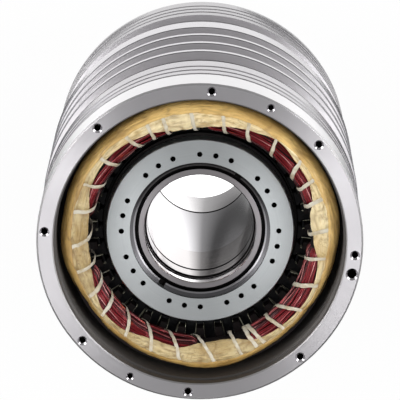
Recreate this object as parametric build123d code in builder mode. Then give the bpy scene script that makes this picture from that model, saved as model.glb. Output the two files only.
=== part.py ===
from build123d import *
from math import cos, radians, sin
import os

# Frameless spindle motor: a cooling jacket with its wound stator, and the rotor on its sleeve.
# Millimetres. The motor axis is Z. The rear face stands on z = 0 and the front face looks up.
# Clock angles are seen from the front and run clockwise from the +Y direction.

os.makedirs("parts", exist_ok=True)

# Cooling jacket
length = 344.0
flange_d = 250.0
rib_proud = 1.0
rear_land_step = 1.0
channel_depth = 6.0
front_mouth_wall = 13.0
rear_mouth_wall = 11.5
register_depth = 10.0
core_seat_step = 1.5
jacket_edge_chamfer = 1.4
register_chamfer = 1.0

# Seal grooves, three behind the front rim and three before the rear face
seal_groove_count = 3
seal_groove_w = 4.6
seal_groove_depth = 3.7
front_groove_first = 36.8
front_groove_pitch = 14.0
rear_groove_first = 21.0
rear_groove_pitch = 13.6

# Coolant channels, with ribs between them
front_channel_start = 88.0
first_rib_depth = 118.9
rib_pitch = 33.3
rib_w = 6.2
last_rib_w = 23.0
rib_count = 4
rear_channel_end = 61.0

# Threaded holes in the jacket's end faces, modelled at their tap drill size
face_circle_inset = 6.0
face_hole_depth = 16.0
sink_angle = 90.0
face_screw_count = 8
face_screw_drill_d = 5.0
face_screw_sink_d = 7.6
face_screw_clock = 4.4
small_screw_count = 2
small_screw_drill_d = 4.2
small_screw_sink_d = 6.4
small_screw_clock = 26.9
lifting_screw_drill_d = 6.8
lifting_screw_sink_d = 9.6
lifting_screw_clock = 101.75

# Stator core and its slots
core_setback = 62.0
core_wall = 34.0
slot_count = 36
slot_opening_w = 2.8
slot_lip = 1.6
slot_shoulder = 1.5
slot_top_w = 6.2
slot_bottom_w = 9.2
slot_depth = 17.5
fit_gap = 0.05

# Slot contents
liner_gap = 0.1
liner_wall = 0.4
liner_reach = 5.0
wedge_thickness = 1.6
wedge_reach = 3.0
end_laminate_thickness = 1.5
end_laminate_inset = 2.5
end_laminate_clearance = 0.3
coil_gap = 0.1
phase_count = 3
slots_per_belt = 3

# Winding heads: how far in or out each corner of their outline lies, and its depth under the end face
head_inner_gap = 6.0
head_inner_slope = 3.0
head_crest_inner_step = 10.1
head_outer_gap = 3.5
head_crest_outer_step = 3.4
head_foot_step = 2.9
head_crest_depth = 11.8
head_inner_high_depth = 16.0
head_outer_high_depth = 19.0
head_inner_low_depth = 28.0
head_outer_low_depth = 34.0
head_bottom_depth = 47.5

# Wrap of the winding heads, with windows where the wire bundles lie open
wrap_wall = 0.8
wrap_gap = 0.3
cavity_crest_depth = 15.9
window_end_step = 3.5
window_edge_step = 12.7
bundle_end_angle = 0.3
bundle_clocks_and_half_angles = ((38.0, 35.0), (125.0, 30.0), (216.0, 34.0), (314.0, 31.0))

# Cord loops round the winding heads
lace_thickness = 0.9
lace_w = 3.0
lace_gap = 0.25
unlaced_teeth = (0, 4, 9, 18, 22, 27, 30, 35)

# Rotor cage
air_gap = 0.5
rotor_bar_count = 28
rotor_bar_w = 5.2
rotor_bar_h = 10.4
rotor_bar_bridge = 1.3
short_ring_step = 1.0
short_ring_w = 15.0
short_ring_thickness = 10.0

# Balancing discs
disc_face_depth = 38.0
disc_step = 2.9
disc_w = 18.6
disc_hub_gap = 1.0
disc_hub_flange = 4.0
disc_edge_chamfer = 0.8
balance_circle_inset = 12.0
balance_drill_d = 4.2
balance_depth = 10.0
balance_middle_clock = 34.9
balance_step_angle = 11.7
balance_set_count = 4
balance_steps_each_way = 3

# Lock rings with two spanner notches
lock_ring_w = 6.1
lock_ring_lip_w = 3.7
lock_ring_base = 6.0
lock_ring_setback = 4.0
lock_ring_dish = 2.2
notch_w = 4.6
notch_depth = 5.0
notch_clock = 34.7
notch_count = 2

# Rotor sleeve
sleeve_wall = 6.4
sleeve_front_setback = 6.4
sleeve_rear_reach = 7.8
sleeve_lead_step = 1.3
sleeve_lead_depth = 12.6
sleeve_edge_chamfer = 0.6
oil_groove_w = 1.2
oil_groove_depth = 0.8
front_oil_groove = 32.6
rear_oil_groove = 54.2

# Radii of the jacket and stator, worked inwards from the front rim
flange_r = flange_d / 2
rib_r = flange_r + rib_proud
rear_land_r = flange_r - rear_land_step
channel_floor_r = flange_r - channel_depth
front_register_r = flange_r - front_mouth_wall
rear_register_r = rear_land_r - rear_mouth_wall
core_seat_r = front_register_r - core_seat_step
front_face_circle_r = flange_r - face_circle_inset
rear_face_circle_r = rear_land_r - face_circle_inset
stator_bore_r = core_seat_r - core_wall
slot_lip_r = stator_bore_r + slot_lip
slot_top_r = slot_lip_r + slot_shoulder
slot_bottom_r = stator_bore_r + slot_depth
wedge_top_r = slot_top_r + liner_gap + wedge_thickness

# Radii of the winding heads, from the stator's bore and seat
head_inner_r = stator_bore_r + head_inner_gap
head_inner_high_r = head_inner_r + head_inner_slope
head_crest_inner_r = head_inner_r + head_crest_inner_step
head_outer_r = core_seat_r - head_outer_gap
head_crest_outer_r = head_outer_r - head_crest_outer_step
head_foot_r = head_outer_r - head_foot_step
window_end_r = head_inner_r + window_end_step
window_edge_r = head_inner_r + window_edge_step
cavity_inner_r = window_edge_r + wrap_wall
cavity_outer_r = head_foot_r - wrap_wall

# Radii of the rotor, worked inwards from the air gap
rotor_r = stator_bore_r - air_gap
bar_middle_r = rotor_r - rotor_bar_bridge - rotor_bar_h / 2
short_ring_outer_r = rotor_r - short_ring_step
short_ring_inner_r = short_ring_outer_r - short_ring_w
disc_r = rotor_r - disc_step
disc_hub_r = short_ring_inner_r - disc_hub_gap
balance_circle_r = disc_r - balance_circle_inset
lock_ring_r = disc_r - disc_w
sleeve_r = lock_ring_r - lock_ring_w
sleeve_bore_r = sleeve_r - sleeve_wall

# Heights and depths that follow
slot_pitch = 360 / slot_count
core_bottom = core_setback
core_top = length - core_setback
core_length = core_top - core_bottom
disc_back_depth = core_setback - short_ring_thickness
lock_ring_seat_depth = core_setback - disc_hub_flange
sleeve_top = length - disc_face_depth - sleeve_front_setback
sleeve_bottom = disc_face_depth - sleeve_rear_reach


def ring_section(inner_r, outer_r, low, high, mode=Mode.ADD):
    """Draws the cross-section of a turned ring in a sketch whose x is the radius."""
    with Locations(((inner_r + outer_r) / 2, (low + high) / 2)):
        Rectangle(outer_r - inner_r, high - low, mode=mode)


def slot_half_width(radius):
    """Half the slot's width at a radius between its shoulder and its bottom."""
    share = (radius - slot_top_r) / (slot_bottom_r - slot_top_r)
    return (slot_top_w + share * (slot_bottom_w - slot_top_w)) / 2


def slot_strip(inner_r, outer_r, side_gap):
    """Corners of a strip that fills the slot between two radii, clear of the slot's sides."""
    inner_half = slot_half_width(inner_r) - side_gap
    outer_half = slot_half_width(outer_r) - side_gap
    return (
        (inner_r, -inner_half),
        (outer_r, -outer_half),
        (outer_r, outer_half),
        (inner_r, inner_half),
    )


def slot_outline(grow=0.0):
    """Corners of one open slot, from inside the bore to the slot's bottom, grown on every side."""
    mouth_half = slot_opening_w / 2 + grow
    inside_bore_r = stator_bore_r - slot_lip
    top_half = slot_top_w / 2 + grow
    bottom_half = slot_bottom_w / 2 + grow
    right_side = (
        (inside_bore_r, mouth_half),
        (slot_lip_r, mouth_half),
        (slot_top_r, top_half),
        (slot_bottom_r + grow, bottom_half),
    )
    left_side = tuple((radius, -half) for radius, half in reversed(right_side))
    return right_side + left_side


def clock_point(radius, clock):
    """The point at a radius and a clock angle, on a face that is looked at from outside."""
    return (radius * sin(radians(clock)), radius * cos(radians(clock)))


def section_plane(end, clock=90.0):
    """A radial plane of one end: x is the radius at a clock angle, y points out of the face."""
    radial = Vector(*clock_point(1.0, clock), 0)
    outward = Vector(0, 0, 1 if end == "front" else -1)
    face_height = length if end == "front" else 0
    return Plane(origin=(0, 0, face_height), x_dir=radial, z_dir=radial.cross(outward))


def face_plane(end, depth=0.0):
    """The plane at a depth under one end's face, looking out of that face."""
    if end == "front":
        return Plane(origin=(0, 0, length - depth), x_dir=(1, 0, 0), z_dir=(0, 0, 1))
    return Plane(origin=(0, 0, depth), x_dir=(1, 0, 0), z_dir=(0, 0, -1))


ends = ("front", "rear")

# Cooling jacket: one turned ring with seal grooves, coolant channels and drilled faces
with BuildPart() as cooling_jacket:
    with BuildSketch(Plane.XZ):
        ring_section(core_seat_r, rear_land_r, 0, rear_channel_end)
        ring_section(core_seat_r, channel_floor_r, rear_channel_end, length - front_channel_start)
        ring_section(core_seat_r, flange_r, length - front_channel_start, length)
        for rib in range(rib_count):
            rib_front = length - first_rib_depth - rib * rib_pitch
            width = last_rib_w if rib == rib_count - 1 else rib_w
            ring_section(core_seat_r, rib_r, rib_front - width, rib_front)
        for groove in range(seal_groove_count):
            front_groove = length - front_groove_first - groove * front_groove_pitch
            rear_groove = rear_groove_first + groove * rear_groove_pitch
            for middle, land_r in ((front_groove, flange_r), (rear_groove, rear_land_r)):
                floor_r = land_r - seal_groove_depth
                low = middle - seal_groove_w / 2
                ring_section(floor_r, flange_r, low, low + seal_groove_w, Mode.SUBTRACT)
        for low, register_r in ((length - register_depth, front_register_r), (0, rear_register_r)):
            ring_section(0, register_r, low, low + register_depth, Mode.SUBTRACT)
    revolve(axis=Axis.Z)
    face_rims = cooling_jacket.edges().filter_by(GeomType.CIRCLE).group_by(Axis.Z)
    for rims in (face_rims[0], face_rims[-1]):
        chamfer(rims.sort_by(SortBy.RADIUS)[0], register_chamfer)
        chamfer(rims.sort_by(SortBy.RADIUS)[-1], jacket_edge_chamfer)
    for end, face_circle_r in (("front", front_face_circle_r), ("rear", rear_face_circle_r)):
        with Locations(face_plane(end)):
            with PolarLocations(face_circle_r, face_screw_count, start_angle=90 - face_screw_clock):
                CounterSinkHole(face_screw_drill_d / 2, face_screw_sink_d / 2, face_hole_depth, sink_angle)
    with Locations(face_plane("front")):
        with PolarLocations(front_face_circle_r, small_screw_count, start_angle=90 - small_screw_clock):
            CounterSinkHole(small_screw_drill_d / 2, small_screw_sink_d / 2, face_hole_depth, sink_angle)
        with PolarLocations(front_face_circle_r, 1, start_angle=90 - lifting_screw_clock):
            CounterSinkHole(lifting_screw_drill_d / 2, lifting_screw_sink_d / 2, face_hole_depth, sink_angle)
cooling_jacket.part.label = "cooling_jacket"
export_step(cooling_jacket.part, "parts/cooling_jacket.step")

# Stator core: a stack of slotted laminations, pressed into the jacket
with BuildPart() as stator_core:
    with BuildSketch(Plane.XY.offset(core_bottom)):
        Circle(core_seat_r - fit_gap)
        Circle(stator_bore_r, mode=Mode.SUBTRACT)
        with PolarLocations(0, slot_count):
            Polygon(*slot_outline(), align=None, mode=Mode.SUBTRACT)
    extrude(amount=core_length)
stator_core.part.label = "stator_core"
export_step(stator_core.part, "parts/stator_core.step")

# Slot liners: a folded paper channel in each slot, standing out at both ends
liner_low_r = wedge_top_r + liner_gap
liner_high_r = slot_bottom_r - liner_gap
with BuildPart() as slot_liners:
    with BuildSketch(Plane.XY.offset(core_bottom - liner_reach)):
        with PolarLocations(0, slot_count):
            Polygon(*slot_strip(liner_low_r, liner_high_r, liner_gap), align=None)
        with PolarLocations(0, slot_count):
            inside = slot_strip(liner_low_r - liner_wall, liner_high_r - liner_wall, liner_gap + liner_wall)
            Polygon(*inside, align=None, mode=Mode.SUBTRACT)
    extrude(amount=core_length + 2 * liner_reach)
slot_liners.part.label = "slot_liners"
export_step(slot_liners.part, "parts/slot_liners.step")

# Slot wedges: a strip that closes each slot under its lips
with BuildPart() as slot_wedges:
    with BuildSketch(Plane.XY.offset(core_bottom - wedge_reach)):
        with PolarLocations(0, slot_count):
            Polygon(*slot_strip(slot_top_r + liner_gap, wedge_top_r, liner_gap), align=None)
    extrude(amount=core_length + 2 * wedge_reach)
slot_wedges.part.label = "slot_wedges"
export_step(slot_wedges.part, "parts/slot_wedges.step")

# Coil sides: the wire in the slots, three neighbouring slots to each phase belt
coil_side_gap = liner_gap + liner_wall + coil_gap
coil_outline = slot_strip(wedge_top_r + coil_gap, liner_high_r - liner_wall - coil_gap, coil_side_gap)
for phase, phase_name in enumerate(("u", "v", "w")):
    with BuildPart() as coil_sides:
        with BuildSketch(Plane.XY.offset(head_bottom_depth)):
            for slot in range(slot_count):
                if (slot // slots_per_belt) % phase_count == phase:
                    with PolarLocations(0, 1, start_angle=slot * slot_pitch):
                        Polygon(*coil_outline, align=None)
        extrude(amount=length - 2 * head_bottom_depth)
    coil_sides.part.label = f"phase_{phase_name}_coil_sides"
    export_step(coil_sides.part, f"parts/phase_{phase_name}_coil_sides.step")


def bundle_window(middle, half_angle, edge_r):
    """The lens between two folds of the wrap, where one wire bundle lies open, as a flat face."""
    under_r = head_inner_r - lace_gap
    first = clock_point(window_end_r, middle - half_angle)
    last = clock_point(window_end_r, middle + half_angle)
    under_first = clock_point(under_r, middle - half_angle)
    under_last = clock_point(under_r, middle + half_angle)
    with BuildSketch() as window:
        with BuildLine():
            ThreePointArc(first, clock_point(edge_r, middle), last)
            Line(last, under_last)
            ThreePointArc(under_last, clock_point(under_r, middle), under_first)
            Line(under_first, first)
        make_face()
    return window.sketch_local


# Outline of the laced head in the radial plane: radius, and height above the end face
head_outline = (
    (head_inner_r, -head_bottom_depth),
    (head_inner_r, -head_inner_low_depth),
    (head_inner_high_r, -head_inner_high_depth),
    (head_crest_inner_r, -head_crest_depth),
    (head_crest_outer_r, -head_crest_depth),
    (head_outer_r, -head_outer_high_depth),
    (head_outer_r, -head_outer_low_depth),
    (head_foot_r, -head_bottom_depth),
)

for end in ends:
    # End laminate: an insulating sheet with the same slots, on the face of the core
    with BuildPart() as end_laminate:
        with BuildSketch(face_plane(end, core_setback)):
            Circle(core_seat_r - end_laminate_inset)
            Circle(stator_bore_r + end_laminate_clearance, mode=Mode.SUBTRACT)
            with PolarLocations(0, slot_count):
                Polygon(*slot_outline(end_laminate_clearance), align=None, mode=Mode.SUBTRACT)
        extrude(amount=end_laminate_thickness)
    end_laminate.part.label = f"{end}_end_laminate"
    export_step(end_laminate.part, f"parts/{end}_end_laminate.step")

    # Hidden coil ends: the packed ring of wire inside the wrap
    with BuildPart() as hidden_coil_ends:
        with BuildSketch(section_plane(end)):
            coil_height = (-head_bottom_depth, -cavity_crest_depth - wrap_gap)
            ring_section(cavity_inner_r + wrap_gap, cavity_outer_r - wrap_gap, *coil_height)
        revolve(axis=Axis.Z)
    hidden_coil_ends.part.label = f"{end}_hidden_coil_ends"
    export_step(hidden_coil_ends.part, f"parts/{end}_hidden_coil_ends.step")

    # Open coil ends: the crescent bundles of bare wire that show inside the folds
    with BuildPart() as open_coil_ends:
        with BuildSketch(section_plane(end)):
            Polygon(*head_outline, align=None)
        revolve(axis=Axis.Z)
        with BuildSketch(face_plane(end, head_inner_high_depth)):
            for middle, half_angle in bundle_clocks_and_half_angles:
                add(bundle_window(middle, half_angle - bundle_end_angle, window_edge_r - wrap_gap))
        extrude(amount=-(head_bottom_depth - head_inner_high_depth), mode=Mode.INTERSECT)
    open_coil_ends.part.label = f"{end}_open_coil_ends"
    export_step(open_coil_ends.part, f"parts/{end}_open_coil_ends.step")

    # Head wrap: the insulation sheet folded over the head, scalloped where wire shows
    with BuildPart() as head_wrap:
        with BuildSketch(section_plane(end)):
            Polygon(*head_outline, align=None)
            cavity_height = (-head_bottom_depth, -cavity_crest_depth)
            ring_section(cavity_inner_r, cavity_outer_r, *cavity_height, Mode.SUBTRACT)
        revolve(axis=Axis.Z)
        with BuildSketch(face_plane(end)):
            for middle, half_angle in bundle_clocks_and_half_angles:
                add(bundle_window(middle, half_angle, window_edge_r))
        extrude(amount=-head_bottom_depth, mode=Mode.SUBTRACT)
    head_wrap.part.label = f"{end}_head_wrap"
    export_step(head_wrap.part, f"parts/{end}_head_wrap.step")

    # Lacing: flat cord loops tied round the head, each over a tooth
    with BuildPart() as lacing:
        for tooth in range(slot_count):
            if tooth not in unlaced_teeth:
                with BuildSketch(section_plane(end, (tooth + 0.5) * slot_pitch)):
                    Polygon(*head_outline, align=None)
                    offset(amount=lace_gap + lace_thickness, kind=Kind.INTERSECTION)
                    with BuildSketch(mode=Mode.SUBTRACT):
                        Polygon(*head_outline, align=None)
                        offset(amount=lace_gap, kind=Kind.INTERSECTION)
                extrude(amount=lace_w / 2, both=True)
    lacing.part.label = f"{end}_lacing"
    export_step(lacing.part, f"parts/{end}_lacing.step")

# Rotor core: laminations shrunk on the sleeve, with closed slots for the bars
with BuildPart() as rotor_core:
    with BuildSketch(Plane.XY.offset(core_bottom)):
        Circle(rotor_r)
        Circle(sleeve_r + fit_gap, mode=Mode.SUBTRACT)
        with PolarLocations(bar_middle_r, rotor_bar_count):
            Rectangle(rotor_bar_h, rotor_bar_w, mode=Mode.SUBTRACT)
    extrude(amount=core_length)
rotor_core.part.label = "rotor_core"
export_step(rotor_core.part, "parts/rotor_core.step")

# Rotor bars: the cage's conductors, one in each closed slot
with BuildPart() as rotor_bars:
    with BuildSketch(Plane.XY.offset(core_bottom)):
        with PolarLocations(bar_middle_r, rotor_bar_count):
            Rectangle(rotor_bar_h - 2 * fit_gap, rotor_bar_w - 2 * fit_gap)
    extrude(amount=core_length)
rotor_bars.part.label = "rotor_bars"
export_step(rotor_bars.part, "parts/rotor_bars.step")

disc_bore_r = lock_ring_r + fit_gap
sleeve_seat_r = sleeve_r + fit_gap

for end in ends:
    # Short-circuit ring: joins the ends of the bars on the face of the rotor core
    with BuildPart() as short_circuit_ring:
        with BuildSketch(section_plane(end)):
            ring_section(short_ring_inner_r, short_ring_outer_r, -core_setback, -disc_back_depth)
        revolve(axis=Axis.Z)
    short_circuit_ring.part.label = f"{end}_short_circuit_ring"
    export_step(short_circuit_ring.part, f"parts/{end}_short_circuit_ring.step")

    # Balancing disc: its hub reaches under the short-circuit ring to the rotor core
    with BuildPart() as balancing_disc:
        with BuildSketch(section_plane(end)):
            ring_section(disc_bore_r, disc_r, -disc_back_depth, -disc_face_depth)
            ring_section(disc_bore_r, disc_hub_r, -core_setback, -disc_back_depth)
            ring_section(sleeve_seat_r, disc_bore_r, -core_setback, -lock_ring_seat_depth)
        revolve(axis=Axis.Z)
        outermost = balancing_disc.edges().filter_by(GeomType.CIRCLE).sort_by(SortBy.RADIUS)[-2:]
        chamfer(outermost, disc_edge_chamfer)
        with Locations(face_plane(end, disc_face_depth)):
            for quarter in range(balance_set_count):
                for step in range(-balance_steps_each_way, balance_steps_each_way + 1):
                    if step != 0:
                        middle = balance_middle_clock + quarter * 360 / balance_set_count
                        with Locations(clock_point(balance_circle_r, middle + step * balance_step_angle)):
                            Hole(balance_drill_d / 2, balance_depth)
    balancing_disc.part.label = f"{end}_balancing_disc"
    export_step(balancing_disc.part, f"parts/{end}_balancing_disc.step")

    # Lock ring: screwed on the sleeve, dished in front, with two spanner notches
    with BuildPart() as lock_ring:
        ring_front = -(disc_face_depth + lock_ring_setback)
        ring_lip_front = ring_front - lock_ring_dish
        ring_base_front = -(lock_ring_seat_depth - lock_ring_base)
        with BuildSketch(section_plane(end)):
            Polygon(
                (sleeve_seat_r, -lock_ring_seat_depth),
                (lock_ring_r, -lock_ring_seat_depth),
                (lock_ring_r, ring_front),
                (lock_ring_r - lock_ring_lip_w, ring_lip_front),
                (lock_ring_r - lock_ring_lip_w, ring_base_front),
                (sleeve_seat_r, ring_base_front),
                align=None,
            )
        revolve(axis=Axis.Z)
        with BuildSketch(face_plane(end, disc_face_depth + lock_ring_setback)):
            with PolarLocations(lock_ring_r, notch_count, start_angle=90 - notch_clock):
                Rectangle(2 * lock_ring_lip_w + notch_w, notch_w)
        extrude(amount=-notch_depth, mode=Mode.SUBTRACT)
    lock_ring.part.label = f"{end}_lock_ring"
    export_step(lock_ring.part, f"parts/{end}_lock_ring.step")

# Rotor sleeve: the turned tube that is shrunk on the spindle, with two oil grooves
with BuildPart() as rotor_sleeve:
    with BuildSketch(Plane.XZ):
        ring_section(sleeve_bore_r, sleeve_r, sleeve_bottom, sleeve_top)
        lead_r = sleeve_bore_r + sleeve_lead_step
        ring_section(0, lead_r, sleeve_top - sleeve_lead_depth, sleeve_top, Mode.SUBTRACT)
        for groove_middle in (sleeve_top - front_oil_groove, sleeve_bottom + rear_oil_groove):
            groove_low = groove_middle - oil_groove_w / 2
            groove_r = sleeve_bore_r + oil_groove_depth
            ring_section(0, groove_r, groove_low, groove_low + oil_groove_w, Mode.SUBTRACT)
    revolve(axis=Axis.Z)
    sleeve_ends = rotor_sleeve.edges().filter_by(GeomType.CIRCLE).group_by(Axis.Z)
    chamfer(sleeve_ends[-1] + sleeve_ends[0], sleeve_edge_chamfer)
rotor_sleeve.part.label = "rotor_sleeve"
export_step(rotor_sleeve.part, "parts/rotor_sleeve.step")
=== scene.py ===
# %% [markdown]
# # A frameless spindle motor
# This motor has no shaft, bearings or covers of its own: a machine builder presses the cooling jacket into a
# housing and shrinks the rotor on a spindle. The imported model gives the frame, in metres, with the motor
# standing on its rear face. This lesson dresses it for a look into its front end.

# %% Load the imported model
import random
from functools import cache
from math import acos, cos, degrees, exp, pi, radians, sin

import bpy
from mathutils import Matrix, Vector, noise


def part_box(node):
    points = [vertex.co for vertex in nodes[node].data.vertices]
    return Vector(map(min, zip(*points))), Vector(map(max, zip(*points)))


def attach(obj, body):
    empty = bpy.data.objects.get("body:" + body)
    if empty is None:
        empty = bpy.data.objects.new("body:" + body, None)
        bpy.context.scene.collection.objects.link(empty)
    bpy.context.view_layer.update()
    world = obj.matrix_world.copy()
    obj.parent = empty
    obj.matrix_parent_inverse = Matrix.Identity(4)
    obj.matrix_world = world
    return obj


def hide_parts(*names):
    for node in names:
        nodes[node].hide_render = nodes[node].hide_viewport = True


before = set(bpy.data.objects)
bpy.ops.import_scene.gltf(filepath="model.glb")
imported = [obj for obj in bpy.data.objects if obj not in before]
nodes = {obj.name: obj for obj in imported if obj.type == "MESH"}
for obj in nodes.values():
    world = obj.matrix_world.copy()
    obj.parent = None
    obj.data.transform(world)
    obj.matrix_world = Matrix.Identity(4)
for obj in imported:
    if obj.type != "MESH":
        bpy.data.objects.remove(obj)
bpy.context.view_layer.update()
scene = bpy.context.scene
MM = 0.001
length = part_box("cooling_jacket")[1].z
print("CAD nodes:", len(nodes), "length:", round(length / MM, 1), "mm")

# %% [markdown]
# ## Camera
# The photograph looks down on the front end from a little above its centre. A long lens from more than two
# metres away lets the jacket narrow only a little towards its rear. It needs a place, an aim and a lens.

# %% Set the camera
camera_place = Vector((0.0141, 0.6173, 2.6627))
camera_aim = Vector((0.0002, 0.0344, length))
forward = (camera_aim - camera_place).normalized()
right = forward.cross(Vector((0, 1, 0))).normalized()
upward = right.cross(forward)
camera_data = bpy.data.cameras.new("camera")
camera_data.lens = 282.7
camera = bpy.data.objects.new("camera", camera_data)
camera_turn = Matrix((right, upward, -forward)).transposed()
camera.matrix_world = Matrix.Translation(camera_place) @ camera_turn.to_4x4()
scene.collection.objects.link(camera)
scene.camera = camera
scene.view_settings.view_transform = "Standard"
print("camera distance:", round((camera_aim - camera_place).length, 3), "m")

# %% [markdown]
# ## Helpers for meshes
# Each soft piece is a grid of points bent round the motor's axis. One helper turns a clock angle, a radius
# and a depth under an end face into a place, so that both heads come from the same code. A number that
# belongs to a point, such as how deep it lies in a crease, is an attribute that a material can read.

# %% Build grids round the axis
ends = ("front", "rear")


def spot(end, radius, clock, depth):
    """A place in metres, from a radius, a clock angle and a depth under one end face in millimetres."""
    x = radius * sin(radians(clock)) * MM
    y = radius * cos(radians(clock)) * MM
    if end == "front":
        return Vector((x, y, length - depth * MM))
    return Vector((x, -y, depth * MM))


def grid_faces(row_count, column_count, start=0, rows_close=False, columns_close=False):
    """Quads between neighbouring rows and columns of a grid of points."""
    faces = []
    for row in range(row_count if rows_close else row_count - 1):
        for column in range(column_count if columns_close else column_count - 1):
            next_row = (row + 1) % row_count
            next_column = (column + 1) % column_count
            corners = ((row, column), (row, next_column), (next_row, next_column), (next_row, column))
            faces.append([start + r * column_count + c for r, c in corners])
    return faces


def mesh_object(name, points, faces, material):
    """A mesh object with one material, in the scene."""
    mesh = bpy.data.meshes.new(name)
    mesh.from_pydata(points, [], faces)
    mesh.materials.append(material)
    made = bpy.data.objects.new(name, mesh)
    scene.collection.objects.link(made)
    print(name, len(faces), "faces")
    return made


def make_piece(name, points, faces, material, body, marks=None):
    """A smooth mesh object that rides on a body, with one attribute for each named list of marks."""
    piece = mesh_object(name, points, faces, material)
    for mark, values in (marks or {}).items():
        layer = piece.data.attributes.new(mark, "FLOAT", "POINT")
        layer.data.foreach_set("value", values)
    piece.data.polygons.foreach_set("use_smooth", [True] * len(faces))
    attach(piece, body)
    return piece


# %% [markdown]
# ## Helpers for materials
# A material here is a Principled shader with a few nodes in front of it. The helpers add a node, fill in its
# inputs by name or number, and hand on its output, which keeps each recipe short enough to read.

# %% Make nodes and materials
def fill_inputs(tree, node, **inputs):
    """Link or set inputs by name, or by number as i0 and i1. A colour has three parts."""
    for key, value in inputs.items():
        name = key.replace("_", " ")
        socket = node.inputs[int(name[1:]) if name[1:].isdigit() else name]
        if isinstance(value, bpy.types.NodeSocket):
            tree.links.new(value, socket)
        else:
            socket.default_value = (*value, 1) if socket.type == "RGBA" else value


def add_node(tree, kind, settings=None, **inputs):
    """A node of one kind, which is named without Blender's prefix."""
    made = tree.nodes.new(f"ShaderNode{kind}")
    for key, value in (settings or {}).items():
        setattr(made, key, value)
    fill_inputs(tree, made, **inputs)
    return made


def calculate(tree, operation, first, second=0.0, third=0.0):
    """The output of a maths node."""
    return add_node(tree, "Math", {"operation": operation}, i0=first, i1=second, i2=third).outputs[0]


def times(tree, first, second):
    """The product of two numbers."""
    return calculate(tree, "MULTIPLY", first, second)


def place_maths(tree, operation, first, second=(0, 0, 0)):
    """The output of a maths node for places: a number for LENGTH and DOT_PRODUCT, else a place."""
    made = add_node(tree, "VectorMath", {"operation": operation}, i0=first, i1=second)
    return made.outputs["Value" if operation in ("LENGTH", "DOT_PRODUCT") else "Vector"]


def blend_colours(tree, factor, first, second):
    """The output of a colour mix."""
    return add_node(tree, "Mix", {"data_type": "RGBA"}, i0=factor, i6=first, i7=second).outputs[2]


def stretch(tree, value, low, high, new_low=0.0, new_high=1.0):
    """The value with its range moved from low..high to new_low..new_high, and clamped there."""
    return add_node(tree, "MapRange", i0=value, i1=low, i2=high, i3=new_low, i4=new_high).outputs[0]


def own_place(tree):
    """The place of a point in the object's own frame."""
    return add_node(tree, "TexCoord").outputs["Object"]


def split(tree, place):
    """The three parts of a place."""
    return add_node(tree, "SeparateXYZ", i0=place).outputs


def from_axis(tree, place):
    """How far a place lies from the motor's axis."""
    return place_maths(tree, "LENGTH", place_maths(tree, "MULTIPLY", place, (1, 1, 0)))


def point_mark(tree, name):
    """The number that a mesh keeps at each point under one name."""
    return add_node(tree, "Attribute", {"attribute_name": name}).outputs["Fac"]


def soft_noise(tree, place, scale, detail, distortion=0.0):
    """Noise in space, between 0 and 1."""
    made = add_node(tree, "TexNoise", Vector=place, Scale=scale, Detail=detail, Distortion=distortion)
    return made.outputs[0]


def start_material(name, **shader_values):
    """A material, its tree and its shader, with constant values set on the shader's sockets."""
    material = bpy.data.materials.new(name)
    material.use_nodes = True
    tree = material.node_tree
    shader = tree.nodes["Principled BSDF"]
    fill_inputs(tree, shader, **shader_values)
    print("material:", name)
    return material, tree, shader


def start_group(name, inputs, outputs):
    """The tree of a node group with number inputs and outputs, and its sockets from the inside."""
    tree = bpy.data.node_groups.new(name, "ShaderNodeTree")
    for label, value in inputs.items():
        socket = tree.interface.new_socket(label, in_out="INPUT", socket_type="NodeSocketFloat")
        socket.default_value = value
    for label in outputs:
        tree.interface.new_socket(label, in_out="OUTPUT", socket_type="NodeSocketFloat")
    return tree, tree.nodes.new("NodeGroupInput").outputs, tree.nodes.new("NodeGroupOutput").inputs


# %% [markdown]
# ## Tool marks of a lathe
# Every round steel face of this motor was turned or ground, so fine rings run round the axis on its faces and
# cylinders. Noise along one line gives them: the distance from the axis plus the height, which works on faces
# and cylinders alike. The group also gives a broad unevenness, as from wiping and handling.

# %% Lathe marks as a node group
lathe_marks, group_in, group_out = start_group(
    "lathe_marks", {"Rings per metre": 4000.0}, ("Rings", "Bands", "Cloud")
)
bands_per_ring, cloud_scale = 0.08, 30.0
one_line = {"noise_dimensions": "1D"}
place = own_place(lathe_marks)
along_profile = calculate(lathe_marks, "ADD", from_axis(lathe_marks, place), split(lathe_marks, place)[2])
ring_place = times(lathe_marks, along_profile, group_in["Rings per metre"])
band_place = times(lathe_marks, ring_place, bands_per_ring)
fine_rings = add_node(lathe_marks, "TexNoise", one_line, W=ring_place, Scale=1.0, Detail=2.0)
broad_bands = add_node(lathe_marks, "TexNoise", one_line, W=band_place, Scale=1.0, Detail=1.0)
lathe_marks.links.new(fine_rings.outputs[0], group_out["Rings"])
lathe_marks.links.new(broad_bands.outputs[0], group_out["Bands"])
lathe_marks.links.new(soft_noise(lathe_marks, place, cloud_scale, 3.0), group_out["Cloud"])
print("group:", lathe_marks.name)

# %% [markdown]
# ## Turned and ground steel
# The jacket, discs, rings and sleeve are all steel, and differ in how they were finished. A turned face
# spreads its highlights across the tool marks, which the anisotropic shader does when its tangent runs round
# the axis. A ground face is more even, and the polished bore is almost a mirror.

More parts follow.
